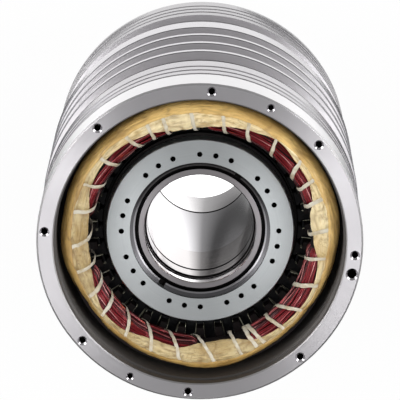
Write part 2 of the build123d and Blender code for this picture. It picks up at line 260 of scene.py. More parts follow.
# %% Steel finishes
def turned_steel(name, colour, faces, walls, anisotropy, ring_depth, wall_rings=1.0, wall_colour=None):
    """Machined steel with rings round the axis: the roughness of its flat faces and of its round walls."""
    material, tree, shader = start_material(
        name, Metallic=1.0, Anisotropic=anisotropy, Anisotropic_Rotation=0.25
    )
    marks = add_node(tree, "Group", {"node_tree": lathe_marks}).outputs
    facing = split(tree, add_node(tree, "TexCoord").outputs["Normal"])[2]
    flat = stretch(tree, calculate(tree, "ABSOLUTE", facing), 0.8, 0.95)
    base = blend_colours(tree, flat, wall_colour or colour, colour)
    cloudy = stretch(tree, marks["Cloud"], 0.35, 0.65, 0.0, 0.06)
    base = blend_colours(tree, cloudy, base, (0, 0, 0))
    roughness = stretch(tree, flat, 0.0, 1.0, walls, faces)
    ring_swing = stretch(tree, flat, 0.0, 1.0, 0.1, 0.9)
    swing = times(tree, calculate(tree, "SUBTRACT", marks["Rings"], 0.5), ring_swing)
    ringed = calculate(tree, "MULTIPLY_ADD", roughness, swing, roughness)
    uneven = calculate(tree, "ADD", ringed, stretch(tree, marks["Bands"], 0.3, 0.7, -0.03, 0.03))
    ring_height = times(tree, marks["Rings"], stretch(tree, flat, 0.0, 1.0, wall_rings, 1.0))
    bump = add_node(tree, "Bump", Strength=ring_depth, Distance=0.0001, Height=ring_height).outputs[0]
    tangent = add_node(tree, "Tangent", {"direction_type": "RADIAL", "axis": "Z"}).outputs[0]
    fill_inputs(tree, shader, Base_Color=base, Roughness=uneven, Normal=bump, Tangent=tangent)
    return material


jacket_steel = turned_steel("jacket_steel", (0.72, 0.7, 0.725), 0.44, 0.22, 0.85, 0.05, wall_rings=0.25)
disc_steel = turned_steel("disc_steel", (0.57, 0.595, 0.605), 0.6, 0.3, 0.6, 0.03)
ring_steel = turned_steel("ring_steel", (0.3, 0.295, 0.31), 0.36, 0.3, 0.8, 0.05)
sleeve_steel = turned_steel(
    "sleeve_steel", (0.42, 0.395, 0.41), 0.4, 0.1, 0.6, 0.02, wall_rings=0.0, wall_colour=(0.96, 0.93, 0.94)
)

# %% [markdown]
# These turned parts aren't one colour all over. The mouth of the jacket is painted dark, as painted shade.
# The ribs and the front rim are ground bright. Their edges, the chamfers of the face, the channel floors, the
# sealing grooves and the line behind the front land are painted darker, as painted shade. The holes, the
# spanner notches, the oil grooves and the groove between sleeve and lock ring are painted black, as painted
# shade. The middle and the mouth of the bore are painted darker than its far end, as painted reflection. A
# place is found by its distance from the axis and its depth under the nearer end face, so that one mask
# serves both ends, or by its height where the ends differ.

# %% Finishes by place
def between(tree, value, low, high, border=0.05):
    """1 from low to high and 0 past a narrow border, with all three in millimetres."""
    above = stretch(tree, value, (low - border) * MM, low * MM)
    below = stretch(tree, value, high * MM, (high + border) * MM, 1.0, 0.0)
    return times(tree, above, below)


def tone(material, radii, colour, depths=None, heights=None, strip=None, rough=None):
    """Colour a material in a ring, or in a strip through the axis, with lengths in millimetres."""
    tree = material.node_tree
    shader = tree.nodes["Principled BSDF"]
    place = own_place(tree)
    x, y, height = split(tree, place)
    inside = between(tree, from_axis(tree, place), *radii)
    if depths:
        off_middle = calculate(tree, "ABSOLUTE", calculate(tree, "SUBTRACT", height, length / 2))
        depth = calculate(tree, "SUBTRACT", length / 2, off_middle)
        inside = times(tree, inside, between(tree, depth, *depths))
    if heights:
        inside = times(tree, inside, between(tree, height, *heights))
    if strip:
        clock, width = strip
        sideways = times(tree, x, cos(radians(clock)))
        sideways = calculate(tree, "MULTIPLY_ADD", y, -sin(radians(clock)), sideways)
        within = between(tree, sideways, -width / 2, width / 2, border=0.1)
        inside = times(tree, inside, within)
    before = shader.inputs["Base Color"].links[0].from_socket
    fill_inputs(tree, shader, Base_Color=blend_colours(tree, inside, before, colour))
    if rough is not None:
        before = shader.inputs["Roughness"].links[0].from_socket
        change = calculate(tree, "SUBTRACT", rough, before)
        fill_inputs(tree, shader, Roughness=calculate(tree, "MULTIPLY_ADD", change, inside, before))
    print(material.name, "tone at radius", *radii, "mm")


mouth_painted_shade = (0.17, 0.16, 0.155)
black_painted_shade = (0.012, 0.011, 0.011)
gap_painted_shade = (0.03, 0.028, 0.03)
ground_bright = (0.97, 0.96, 0.97)
rib_edge_painted_shade = (0.22, 0.22, 0.23)
chamfer_painted_shade = (0.5, 0.49, 0.5)
rib_bright = (0.82, 0.8, 0.825)
dark_line_painted_shade = (0.1, 0.097, 0.1)
channel_painted_shade = (0.55, 0.54, 0.55)
bore_middle_painted_reflection = (0.46, 0.445, 0.465)
bore_mouth_painted_reflection = (0.36, 0.335, 0.335)
rear_ground = (0.6, 0.585, 0.6)
ring_cone = (0.11, 0.108, 0.115)
past_end = 400.0

mouth_r, mouth_edge_r = (0, 112.1), (112.1, 113.0)
front_land_r, rear_land_r, rim_edge_r = (124.8, 125.1), (123.9, 124.1), (123.7, 124.9)
rib_r, rib_edge_r, channel_r = (125.95, 127), (125.3, 125.9), (117, 119.15)
lip_r, front_groove_r, rear_groove_r = (124.9, 125.1), (121.0, 121.5), (120.0, 120.5)
# Painted shade: the jacket's mouth is painted dark.
tone(jacket_steel, mouth_r, mouth_painted_shade, rough=0.45)
tone(jacket_steel, front_land_r, ground_bright, depths=(1.5, 34.4), rough=0.3)
tone(jacket_steel, rib_r, rib_bright)
# Painted shade: a dark line along the front edge of each rib.
tone(jacket_steel, rib_edge_r, rib_edge_painted_shade)
# Painted shade on the two chamfers of the front face, which dims their highlight.
tone(jacket_steel, rim_edge_r, chamfer_painted_shade, depths=(-1.0, 1.35), rough=0.5)
tone(jacket_steel, mouth_edge_r, chamfer_painted_shade, depths=(-1.0, 1.1), rough=0.45)
# Painted shade on the deep floors of the cooling channels.
tone(jacket_steel, channel_r, channel_painted_shade, depths=(60.0, past_end))
tone(jacket_steel, rear_land_r, rear_ground, heights=(1.5, 61.0))
# Painted shade: a dark line behind the front land, and dark floors in the sealing grooves.
tone(jacket_steel, lip_r, dark_line_painted_shade, heights=(255.0, 258.5), rough=0.8)
tone(jacket_steel, front_groove_r, dark_line_painted_shade, heights=(270.0, 320.0), rough=0.6)
tone(jacket_steel, rear_groove_r, dark_line_painted_shade, heights=(10.0, 60.0), rough=0.6)
# Painted shade inside the screw holes of the front face.
tone(jacket_steel, (113.4, 123.3), black_painted_shade, depths=(1.35, 16.5))
# Painted shade inside the holes of the balancing disc.
tone(disc_steel, (58.8, 63.4), black_painted_shade, depths=(38.6, 49.0))

cone_r, ring_gap_r, notch_r = (52.0, 60), (0, 50.8), (50.7, 60)
notch_clock, notch_width = 34.7, 5.4
tone(ring_steel, cone_r, ring_cone)
# Painted shade on the lock ring's inner lip, beside the gap to the sleeve.
tone(ring_steel, ring_gap_r, gap_painted_shade)
# Painted shade in the spanner notches.
tone(ring_steel, notch_r, black_painted_shade, strip=(notch_clock, notch_width))

sleeve_outside_r, bore_r, oil_groove_r = (48.0, 60), (41.9, 42.1), (41.9, 43.2)
# Painted shade on the sleeve's outside, in the gap under the lock ring.
tone(sleeve_steel, sleeve_outside_r, gap_painted_shade)
# Painted reflection: the bore's middle and mouth are darker than its far end.
tone(sleeve_steel, bore_r, bore_middle_painted_reflection, heights=(84.4, 212.0))
tone(sleeve_steel, bore_r, bore_mouth_painted_reflection, heights=(212.0, past_end))
# Painted shade in three grooves of the bore.
for groove_heights in ((265.0, 269.0), (82.2, 86.6), (284.5, 288.0)):
    tone(sleeve_steel, oil_groove_r, black_painted_shade, heights=groove_heights, rough=0.9)

# %% [markdown]
# ## Laminations, copper and slot parts
# Deep between the rotor and the winding only dark, varnished things show: the edges of the laminations, the
# black wedges, the slot paper and the ends of the coils. They get one recipe with a soft varnish. The coils
# in the slots and their ends, the copper of the cage and the slot paper are painted near black as painted
# shade, the paper with pale olive blotches.

# %% Dark inner finishes
def varnished(name, colour, other_colour, roughness, scale, metallic=0.0, coat=0.05):
    """A dull material with blotches of a second colour under a thin varnish."""
    material, tree, shader = start_material(
        name, Metallic=metallic, Specular_IOR_Level=0.25, Coat_Weight=coat, Coat_Roughness=0.25
    )
    blotches = soft_noise(tree, own_place(tree), scale, 4.0)
    base = blend_colours(tree, stretch(tree, blotches, 0.4, 0.65), colour, other_colour)
    uneven = stretch(tree, blotches, 0.3, 0.7, roughness * 0.8, roughness * 1.2)
    bump = add_node(tree, "Bump", Strength=0.3, Distance=0.0005, Height=blotches).outputs[0]
    fill_inputs(tree, shader, Base_Color=base, Roughness=uneven, Normal=bump)
    return material


core_steel = varnished("core_steel", (0.008, 0.008, 0.009), (0.02, 0.019, 0.018), 0.5, 300.0, metallic=0.4)
# The slot paper is painted near black as painted shade, with pale olive blotches.
slot_paper = varnished("slot_paper", (0.02, 0.02, 0.016), (0.7, 0.68, 0.52), 0.3, 60.0, coat=0.5)
wedge_laminate = varnished("wedge_laminate", (0.003, 0.003, 0.004), (0.009, 0.009, 0.01), 0.45, 500.0)
# Painted shade: the coils in the slots and the wire body are painted near black.
slot_wire = varnished("slot_wire", (0.002, 0.001, 0.001), (0.006, 0.002, 0.002), 0.7, 700.0, coat=0.0)
# Painted shade: the cage copper is painted near black.
cage_copper = varnished("cage_copper", (0.005, 0.005, 0.005), (0.014, 0.011, 0.01), 0.5, 120.0, metallic=0.3)

dressing = {
    "cooling_jacket": jacket_steel,
    "stator_core": core_steel,
    "rotor_core": core_steel,
    "slot_wedges": wedge_laminate,
    "rotor_bars": cage_copper,
    "rotor_sleeve": sleeve_steel,
}
for phase in "uvw":
    dressing[f"phase_{phase}_coil_sides"] = slot_wire
for end in ends:
    dressing[f"{end}_end_laminate"] = wedge_laminate
    dressing[f"{end}_hidden_coil_ends"] = slot_wire
    dressing[f"{end}_short_circuit_ring"] = cage_copper
    dressing[f"{end}_balancing_disc"] = disc_steel
    dressing[f"{end}_lock_ring"] = ring_steel
for name, material in dressing.items():
    nodes[name].data.materials.clear()
    nodes[name].data.materials.append(material)
print("dressed:", len(dressing), "nodes")

# %% [markdown]
# ## The winding head's section
# Cut through the winding head and it looks like a fat rounded rectangle standing on the core. A superellipse
# gives that section with five numbers. Its angle starts at the outer side, passes over the crest at 90
# degrees and comes down on the inner side, so each piece of the head is a stretch of the same curve. The head
# is beaten into shape with a mallet, so its outer side isn't round: it swells and draws in a little.

# %% Section of the head
section_middle_r = 94.75
section_half_width = 12.25
section_middle_depth = 30.0
section_half_height = 18.2
section_squareness = 2.8
tucked_outside = -62.0
tucked_inside = 242.0
swell_at_foot, swell_at_side = 0.45, 0.6
swell_points = (
    (0, 0.4), (12, 0.7), (24, 0.7), (36, 1.1), (48, 0.2), (58, 1.4), (72, 2.3), (84, 1.8), (96, -0.8),
    (114, -3), (128, -4.6), (144, -4.5), (155, -3), (170, -0.8), (180, -1.2), (192, -3), (216, -4),
    (240, -5), (252, -1.9), (262, 0.5), (271, 0.6), (280, -0.4), (288, 0), (300, 0.6), (312, 0.4),
    (324, 0.6), (336, 1.2), (348, 1.3),
)


def ring_curve(points, clock):
    """A smooth closed curve through values that are given at clock angles."""
    count = len(points)
    index = sum(here <= clock % 360 for here, _ in points) - 1
    here, value = points[index]
    after, next_value = points[(index + 1) % count]
    share = ((clock - here) % 360) / ((after - here) % 360)
    slope = (next_value - points[index - 1][1]) / 2
    next_slope = (points[(index + 2) % count][1] - value) / 2
    square, cube = share**2, share**3
    start_part = (2 * cube - 3 * square + 1) * value + (cube - 2 * square + share) * slope
    return start_part + (3 * square - 2 * cube) * next_value + (cube - square) * next_slope


def even_steps(first, last, count):
    """Numbers in even steps from the first to the last."""
    return [first + (last - first) * step / (count - 1) for step in range(count)]


def signed_power(value, power):
    """A power of a number that keeps its sign."""
    return abs(value) ** power * (1 if value > 0 else -1)


def section_point(clock, turn, proud=0.0):
    """Radius and depth on the head at a clock angle and section angle, proud of it by some millimetres."""
    power = 2 / section_squareness
    across, up = cos(radians(turn)), sin(radians(turn))
    wide = section_half_width + proud
    high = section_half_height + proud
    if across > 0:
        wide += ring_curve(swell_points, clock) * min(1.0, max(swell_at_foot, swell_at_side + up))
    radius = section_middle_r + wide * signed_power(across, power)
    depth = section_middle_depth - high * signed_power(up, power)
    return radius, depth


def turn_at_radius(clock, radius):
    """The section's angle on the crest side where it has a radius."""
    wide = section_half_width
    if radius > section_middle_r:
        wide += ring_curve(swell_points, clock)
    share = max(-0.999, min(0.999, (radius - section_middle_r) / wide))
    return degrees(acos(signed_power(share, section_squareness / 2)))


print("crest depth:", section_point(0, 90)[1], "mm")

# %% [markdown]
# ## Where the cord loops go
# A winder ties the head by hand with flat cord, one loop every twelve degrees or so, and each loop leans a
# few degrees from its outer to its inner side. The list holds the clock angle of each loop on the crest and
# its lean. Everything under a loop is drawn in a little, and bulges between loops.

# %% Cord loops and their pinch
loops = (
    (11, 3.7), (23, 4.5), (37, 4.5), (52, 5.6), (62, 2), (71.5, 2.3), (86, 2.8), (99.5, 2.9), (113, 5),
    (126.5, 6.2), (138, 3.3), (149, 3.5), (153, 2.2), (161, 2.1), (174.5, 5.6), (190, 5), (203.5, 4.9),
    (217, 4.8), (231.5, 2.9), (242, 3.5), (254.5, 2), (267, 4.6), (283, 3.5), (296.5, 3.5), (310.5, 2.5),
    (325.5, 3.8), (336, 0.1), (343.5, 0.9), (356.5, 2.1),
)
turn_of_full_lean = 80
pinch_width = 1.7


def loop_clock(loop, turn):
    """The clock angle of a loop where it crosses the section at an angle."""
    clock, lean = loop
    return clock + lean * (turn - 90) / turn_of_full_lean


def apart(first, second):
    """The signed difference between two clock angles."""
    return (first - second + 180) % 360 - 180


def near_loop(clock, turn):
    """1 under a cord loop, falling to 0 a few degrees away."""
    gaps = (apart(clock, loop_clock(loop, turn)) for loop in loops)
    return max(exp(-((gap / pinch_width) ** 2)) for gap in gaps)


print("loops:", len(loops))

# %% [markdown]
# ## Where the wrap ends
# The insulation sheet is folded over the head, and its inner edge wanders. Between the folds it stops high on
# the crest and the red wire shows. At four places it reaches the inner side and hides the wire, where one
# bundle dives under the next. A short list of clock angles and radii holds that edge, with a smooth curve
# through it.

# %% Edge of the wrap
edge_points = (
    (6, 88.8), (14, 91), (26, 94), (38, 98), (50, 95.4), (61, 94.5), (70, 91.4), (78, 86), (91, 87),
    (102, 92.4), (117, 95.2), (132, 94), (151, 90.8), (161, 84.6), (174, 83.6), (181, 84.4), (190, 87.6),
    (203, 87.4), (209, 88.8), (215, 91.2), (221, 93.6), (233, 93.8), (244, 89.3), (258, 85.6), (276, 86),
    (284, 86.8), (294, 92), (312, 95), (328, 92.6), (337, 90.6), (345, 87.4), (355, 86.4),
)
hidden_stretches = ((76, 94), (157, 180), (254, 279), (348, 362))
hiding_slope = 8
hidden_at_limit = 0.6


def clamp(value):
    """A number, kept between 0 and 1."""
    return min(1.0, max(0.0, value))


@cache
def hidden(clock):
    """1 where the wrap hides the wire, 0 where it lies open, with a slope between."""
    most = 0.0
    for first, last in hidden_stretches:
        inside = (last - first) / 2 - abs(apart(clock, (first + last) / 2))
        most = max(most, clamp(inside / hiding_slope + hidden_at_limit))
    return most * most * (3 - 2 * most)


@cache
def edge_turn(clock):
    """The section's angle at which the wrap ends."""
    return turn_at_radius(clock, ring_curve(edge_points, clock))


print("edge points:", len(edge_points))

# %% [markdown]
# ## Varnished sheet and flat cord
# The sheet is a pale, varnished paper cloth, painted darker ochre in its creases and fold lines as painted
# shade. Its colour comes from the crease attribute with some blotches on top. It is painted brighter towards
# the top right and darker towards the lower left, as painted light and shade, and yellower towards the lower
# left. A fine crinkle is left to the bump. The cord is a flat woven tape, so its bump is two crossing waves.

# %% Sheet and cord finishes
lit_side = (0.5, 0.87, 0.0)
shaded_yellow_varnish = (0.86, 0.81, 0.71)
lit_varnish = (1.4, 1.4, 1.42)


def sheet_material(name, pale, deep, stain, gloss, grain):
    """Varnished insulation sheet with painted shade in its creases and painted light on one side, and streaks
    round the ring as strong as its grain.
    """
    material, tree, shader = start_material(
        name, Coat_Weight=0.25, Coat_Roughness=0.25, Subsurface_Weight=0.08,
        Subsurface_Radius=(0.0015, 0.001, 0.0005),
    )
    place = own_place(tree)
    level = place_maths(tree, "MULTIPLY", place, (1, 1, 0.2))
    lift = times(tree, point_mark(tree, "over"), 0.0032)
    along = place_maths(tree, "ADD", level, add_node(tree, "CombineXYZ", i2=lift).outputs[0])
    streaks = soft_noise(tree, along, 42.0, 4.0, 1.2)
    folds = soft_noise(tree, along, 24.0, 2.0, 2.5)
    blotches = soft_noise(tree, place, 30.0, 5.0)
    crinkle = soft_noise(tree, place, 700.0, 5.0)
    off_line = calculate(tree, "ABSOLUTE", calculate(tree, "SUBTRACT", folds, 0.5))
    patchy = stretch(tree, blotches, 0.4, 0.55, 0.1 * grain, 0.8 * grain)
    line = times(tree, stretch(tree, off_line, 0.0, 0.02, 1.0, 0.0), patchy)
    # Painted shade: the crease mark darkens the sheet towards its deep colour.
    base = blend_colours(tree, point_mark(tree, "crease"), pale, deep)
    base = blend_colours(tree, stretch(tree, blotches, 0.45, 0.68, 0.0, 0.7), base, stain)
    base = blend_colours(tree, stretch(tree, streaks, 0.5, 0.66, 0.0, 0.5 * grain), base, stain)
    # Painted shade along the fold lines.
    base = blend_colours(tree, line, base, deep)
    # Painted light and shade: brighter towards the top right, darker and yellower towards the lower left.
    lit_share = stretch(tree, place_maths(tree, "DOT_PRODUCT", place, lit_side), -0.03, 0.09)
    base = place_maths(tree, "MULTIPLY", base, blend_colours(tree, lit_share, shaded_yellow_varnish, lit_varnish))
    rough = stretch(tree, crinkle, 0.3, 0.7, gloss * 0.8, gloss * 1.25)
    height = calculate(tree, "MULTIPLY_ADD", crinkle, 0.15, streaks)
    height = calculate(tree, "MULTIPLY_ADD", stretch(tree, off_line, 0.0, 0.06), 0.4, height)
    bump = add_node(tree, "Bump", Strength=0.7 * grain, Distance=0.002, Height=height).outputs[0]
    fill_inputs(tree, shader, Base_Color=base, Roughness=rough, Normal=bump)
    return material


wrap_sheet = sheet_material(
    "wrap_sheet", pale=(0.66, 0.56, 0.34), deep=(0.2, 0.11, 0.035), stain=(0.44, 0.3, 0.11),
    gloss=0.36, grain=0.85,
)
band_sheet = sheet_material(
    "band_sheet", pale=(0.6, 0.41, 0.145), deep=(0.16, 0.085, 0.025), stain=(0.36, 0.205, 0.055),
    gloss=0.34, grain=0.55,
)


def cord_material():
    """Flat woven cord, off-white."""
    material, tree, shader = start_material("lacing_cord", Roughness=0.6, Sheen_Weight=0.1, Coat_Weight=0.15)
    warp = calculate(tree, "SINE", times(tree, point_mark(tree, "across"), 14.0))
    weft = calculate(tree, "SINE", times(tree, point_mark(tree, "along"), 9.0))
    weave = times(tree, warp, weft)
    grime = stretch(tree, soft_noise(tree, own_place(tree), 160.0, 3.0), 0.4, 0.65)
    base = blend_colours(tree, grime, (0.6, 0.555, 0.455), (0.46, 0.38, 0.25))
    bump = add_node(tree, "Bump", Strength=0.4, Distance=0.0002, Height=weave).outputs[0]
    fill_inputs(tree, shader, Base_Color=base, Normal=bump)
    return material


lacing_cord = cord_material()

# %% [markdown]
# ## The wrap
# A sheet that is folded and tied by hand has long creases along the head, puckers at the loops and a wavy
# hem. Each of these is a small height added to the section, so the mesh itself carries the folds. The crease
# attribute keeps how low each point lies, for the painted shade in the colour.

# %% Fold the sheet over both heads
bulge_scale, fold_scale, wrinkle_scale, crinkle_scale = 9, 6, 22, 70
bulge_height, fold_height, wrinkle_height, crinkle_height = 0.8, 0.5, 0.35, 0.12
pinch_depth = 0.8
sheet_sink = 1.2


def noise_way(clock, height=0.0):
    """A place on a circle, where noise is read, so that its pattern closes round the head."""
    return Vector((cos(radians(clock)), sin(radians(clock)), height))


def ridged(place):
    """Noise with sharp valleys, between 0 in a valley and 1."""
    return min(1.0, abs(noise.noise(place)) * 3)


def sheet_height(clock, turn):
    """How proud the sheet lies of the section, in millimetres, and how deep in a crease it is."""
    radius, depth = section_point(clock, turn)
    place = noise_way(clock, depth / 60)
    long_folds = ridged(Vector((place.x * fold_scale, place.y * fold_scale, depth / 5 + radius / 5)))
    wrinkles = ridged(place * wrinkle_scale)
    crinkle = noise.noise(place * crinkle_scale)
    pinch = near_loop(clock, turn)
    bulge = 0.5 + 0.5 * noise.noise(place * bulge_scale)
    proud = bulge_height * bulge + fold_height * long_folds + wrinkle_height * wrinkles * (1 - pinch)
    proud = proud + crinkle_height * crinkle - pinch_depth * pinch
    # The crease mark, for painted shade: deep in fold valleys and wrinkles, and under the loops.
    crease = clamp(1 - 2.2 * long_folds) * 0.6 + clamp(1 - 3 * wrinkles) * 0.15 + 0.25 * pinch
    return proud - sheet_sink, clamp(crease)


band_edge_radius = 98.8


@cache
def band_turn(clock):
    """The section's angle at which the outer band ends."""
    way = noise_way(clock)
    wander = 1.3 * noise.noise(way * 3.1) + 0.8 * noise.noise(way * 9.7)
    swell = ring_curve(swell_points, clock)
    return turn_at_radius(clock, band_edge_radius + wander + 0.25 * swell)


def cover_head(end, columns, rows, lay):
    """Points, faces and marks of a grid over one head, with angles, heights and creases from lay."""
    points, creases, turns = [], [], []
    for column in range(columns):
        clock = 360 * column / columns
        for row in range(rows):
            turn, proud, crease = lay(clock, row / (rows - 1))
            radius, depth = section_point(clock, turn, proud)
            points.append(spot(end, radius, clock, depth))
            creases.append(crease)
            turns.append(turn)
    return points, grid_faces(columns, rows, rows_close=True), {"crease": creases, "over": turns}


wrap_columns, wrap_rows = 540, 30
hem_rise, hem_sharpness, hem_tuck = 0.5, 22, -1.2
step_under_band, step_slope = 0.7, 8


def lay_fold(clock, share):
    """The cream sheet from its hem on the inner side to its tuck under the outer side, low under the band."""
    hem = edge_turn(clock)
    turn = hem + (tucked_outside - hem) * share**1.4
    proud, crease = sheet_height(clock, turn)
    proud += hem_rise * exp(-share * hem_sharpness) * (1.0 if share else hem_tuck)
    proud -= step_under_band * clamp((band_turn(clock) - turn) / step_slope)
    return turn, proud, crease


for end in ends:
    points, faces, marks = cover_head(end, wrap_columns, wrap_rows, lay_fold)
    piece = make_piece(f"{end}_wrap_fold", points, faces, wrap_sheet, "stator", marks)
    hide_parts(f"{end}_head_wrap")

# %% [markdown]
# ## The outer band
# A second, yellower sheet goes round the outside after the head is tied. It covers the outer ends of the
# cord loops, and its free edge lies flat on the crest. It takes the heights of the sheet beneath it, flatter
# away from its edge, and adds long folds of its own.

# %% Band round the outside
band_columns, band_rows = 480, 22
band_lift, band_hem = 0.12, -0.25


def lay_band(clock, share):
    """The golden sheet on the outer side, from its free edge on the crest to its tuck."""
    hem = band_turn(clock)
    turn = hem + (tucked_outside - hem) * share**1.3
    proud, crease = sheet_height(clock, turn)
    way = noise_way(clock)
    long_fold = ridged(Vector((way.x * 4, way.y * 4, turn / 24)))
    off_edge = 1 - exp(-share * 9)
    proud = proud * (1 - 0.55 * off_edge) + 0.1 * long_fold * off_edge + 0.3 * near_loop(clock, turn)
    proud += band_lift if share else band_hem
    # The band's crease mark, for painted shade: deep in its long folds, under the sheet's creases and along
    # its free edge.
    crease = clamp(1 - 3 * long_fold) * 0.5 + 0.3 * crease + 0.4 * exp(-share * 40)
    return turn, proud, clamp(crease)


for end in ends:
    points, faces, marks = cover_head(end, band_columns, band_rows, lay_band)
    piece = make_piece(f"{end}_wrap_band", points, faces, band_sheet, "stator", marks)
    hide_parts(f"{end}_head_wrap")

# %% [markdown]
# ## Enamelled wire
# Inside the folds the coil ends lie open as strands of red enamelled wire, about a millimetre thick. The
# enamel is a clear red coat over copper, with its own tone on each strand. A painted highlight lies pale in
# places along the crown of the brightest strands.

# %% Wire finish
def wire_material():
    """Red enamel over copper, each strand in its own tone, with a painted highlight on some crowns."""
    material, tree, shader = start_material(
        "enamelled_wire", Metallic=0.6, Roughness=0.26, Specular_IOR_Level=0.3, Coat_Weight=0.3,
        Coat_Roughness=0.05,
    )
    shade = point_mark(tree, "shade")
    place = own_place(tree)
    crimson = blend_colours(tree, shade, (0.015, 0.001, 0.002), (0.24, 0.01, 0.016))
    hot = stretch(tree, soft_noise(tree, place, 45.0, 2.0), 0.62, 0.7)
    base = blend_colours(tree, times(tree, hot, shade), crimson, (0.6, 0.09, 0.03))
    breaks = stretch(tree, soft_noise(tree, place, 60.0, 1.0), 0.4, 0.6, 0.2, 0.9)
    # Painted highlight along each strand's crown, broken by noise.
    glint = times(tree, point_mark(tree, "crown"), breaks)
    glint = times(tree, glint, stretch(tree, shade, 0.85, 0.95))
    fill_inputs(tree, shader, Base_Color=blend_colours(tree, glint, base, (0.75, 0.42, 0.4)))
    return material


enamelled_wire = wire_material()

# %% [markdown]
# ## Strands
# Each strand is a thin tube round the head that wanders a little across its neighbours. The strands lie in
# small groups at different depths, with dark gaps between them, and a body behind, painted near black as
# painted shade, closes the gaps. They dive where the wrap hides them and draw in under the cord loops.

# %% Lay the strands
strand_count = 42
strand_r = 0.52
strand_sides = 6
strand_steps = 240
strand_clocks = [360 * step / strand_steps for step in range(strand_steps)]
strand_shades = (0.0, 0.1, 0.2, 0.3, 0.45, 0.6, 0.75, 1.0)
strands_in_group = 3
strand_first_turn, strand_last_turn = 72.0, 226.0
deepest_group = 1.9
group_wander, strand_wander = 6, 3
wrap_thickness = 1.0
dive, loop_pull, cover_pull = 6.0, 0.8, 1.8
cover_margin, cover_slope = 6, 8


def wave(way, scale, pattern):
    """Noise round the head, from about -1 to 1, in a pattern picked by a number."""
    return noise.noise(way * scale + Vector((0, 0, pattern)))


def strand_place(end, clock, turn, under):
    """A point on the wire's surface, drawn in under the cord loops and deep where the wrap hides it."""
    covered = clamp((edge_turn(clock) - turn - cover_margin) / cover_slope)
    pulled_in = dive * hidden(clock) + loop_pull * near_loop(clock, turn) + cover_pull * covered
    radius, depth = section_point(clock, turn, -wrap_thickness - under - pulled_in)
    return spot(end, radius, clock, depth)


def lay_strands(end):
    """All strands of one head as one mesh of thin tubes."""
    chance = random.Random(f"strands {end}")
    points, faces, shades, crowns = [], [], [], []
    group_depths = [chance.uniform(0.0, deepest_group) for _ in range(strand_count // strands_in_group + 1)]
    for strand, base_turn in enumerate(even_steps(strand_first_turn, strand_last_turn, strand_count)):
        shade = chance.choice(strand_shades)
        phase = chance.uniform(0, 100)
        group = strand // strands_in_group
        line = []
        for clock in strand_clocks:
            way = noise_way(clock)
            wander = group_wander * wave(way, 2.3, group * 7.3) + strand_wander * wave(way, 5.1, phase)
            under = max(0.0, group_depths[group] * (0.5 + wave(way, 3.7, group * 3.1)))
            under += 0.6 * abs(wave(way, 4.1, phase * 1.7))
            line.append(strand_place(end, clock, base_turn + wander, under))
        start = len(points)
        for step, middle in enumerate(line):
            ahead = (line[(step + 1) % strand_steps] - line[step - 1]).normalized()
            side = ahead.cross(Vector((0, 0, 1))).normalized()
            over = side.cross(ahead)
            inner = spot(end, section_middle_r, strand_clocks[step], section_middle_depth)
            outward = (middle - inner).normalized()
            for corner in range(strand_sides):
                angle = 2 * pi * corner / strand_sides
                arm = side * cos(angle) + over * sin(angle)
                points.append(middle + arm * strand_r * MM)
                shades.append(shade)
                crowns.append(max(0.0, arm.dot(outward)) ** 4)
        faces += grid_faces(strand_steps, strand_sides, start, rows_close=True, columns_close=True)
    marks = {"shade": shades, "crown": crowns}
    piece = make_piece(f"{end}_wire_strands", points, faces, enamelled_wire, "stator", marks)
    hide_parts(f"{end}_open_coil_ends")


body_columns, body_rows = 144, 24
body_first_turn, body_last_turn = 50, 250
body_under, body_pinch = 3.3, 1.2


def lay_body(clock, share):
    """The body of wire behind the open strands, painted near black as painted shade, drawn in at the loops.
    """
    turn = body_first_turn + (body_last_turn - body_first_turn) * share
    return turn, -body_under - body_pinch * near_loop(clock, turn), 0.0


for end in ends:
    lay_strands(end)
    points, faces, _ = cover_head(end, body_columns, body_rows, lay_body)
    piece = make_piece(f"{end}_wire_body", points, faces, slot_wire, "stator")
    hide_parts(f"{end}_open_coil_ends")

# %% [markdown]
# ## Slot papers
# Each slot is lined with a folded paper, a channel that is open towards the rotor. Its ends stand out of the
# core as stiff cuffs, cut by hand, so no two reach equally far. The paper is painted near black as painted
# shade, with pale olive blotches. Down between the rotor and the winding head their pale upright edges are
# the only thing that catches the light.

# %% Fold the slot papers
slot_count = 36
slot_low_r, slot_high_r = 80.0, 93.9
slot_low_half, slot_high_half = 3.05, 4.5
paper_wall = 0.4
core_setback = 62.0
shortest_cuff, longest_cuff = 3.0, 13.0
widest_bend = 1.3


def channel(wall):
    """Corners of a slot's paper as radius and side, drawn in by a wall from the slot."""
    low, high, deep = slot_low_half - wall, slot_high_half - wall, slot_high_r - wall
    return ((slot_low_r, -low), (deep, -high), (deep, high), (slot_low_r, low))


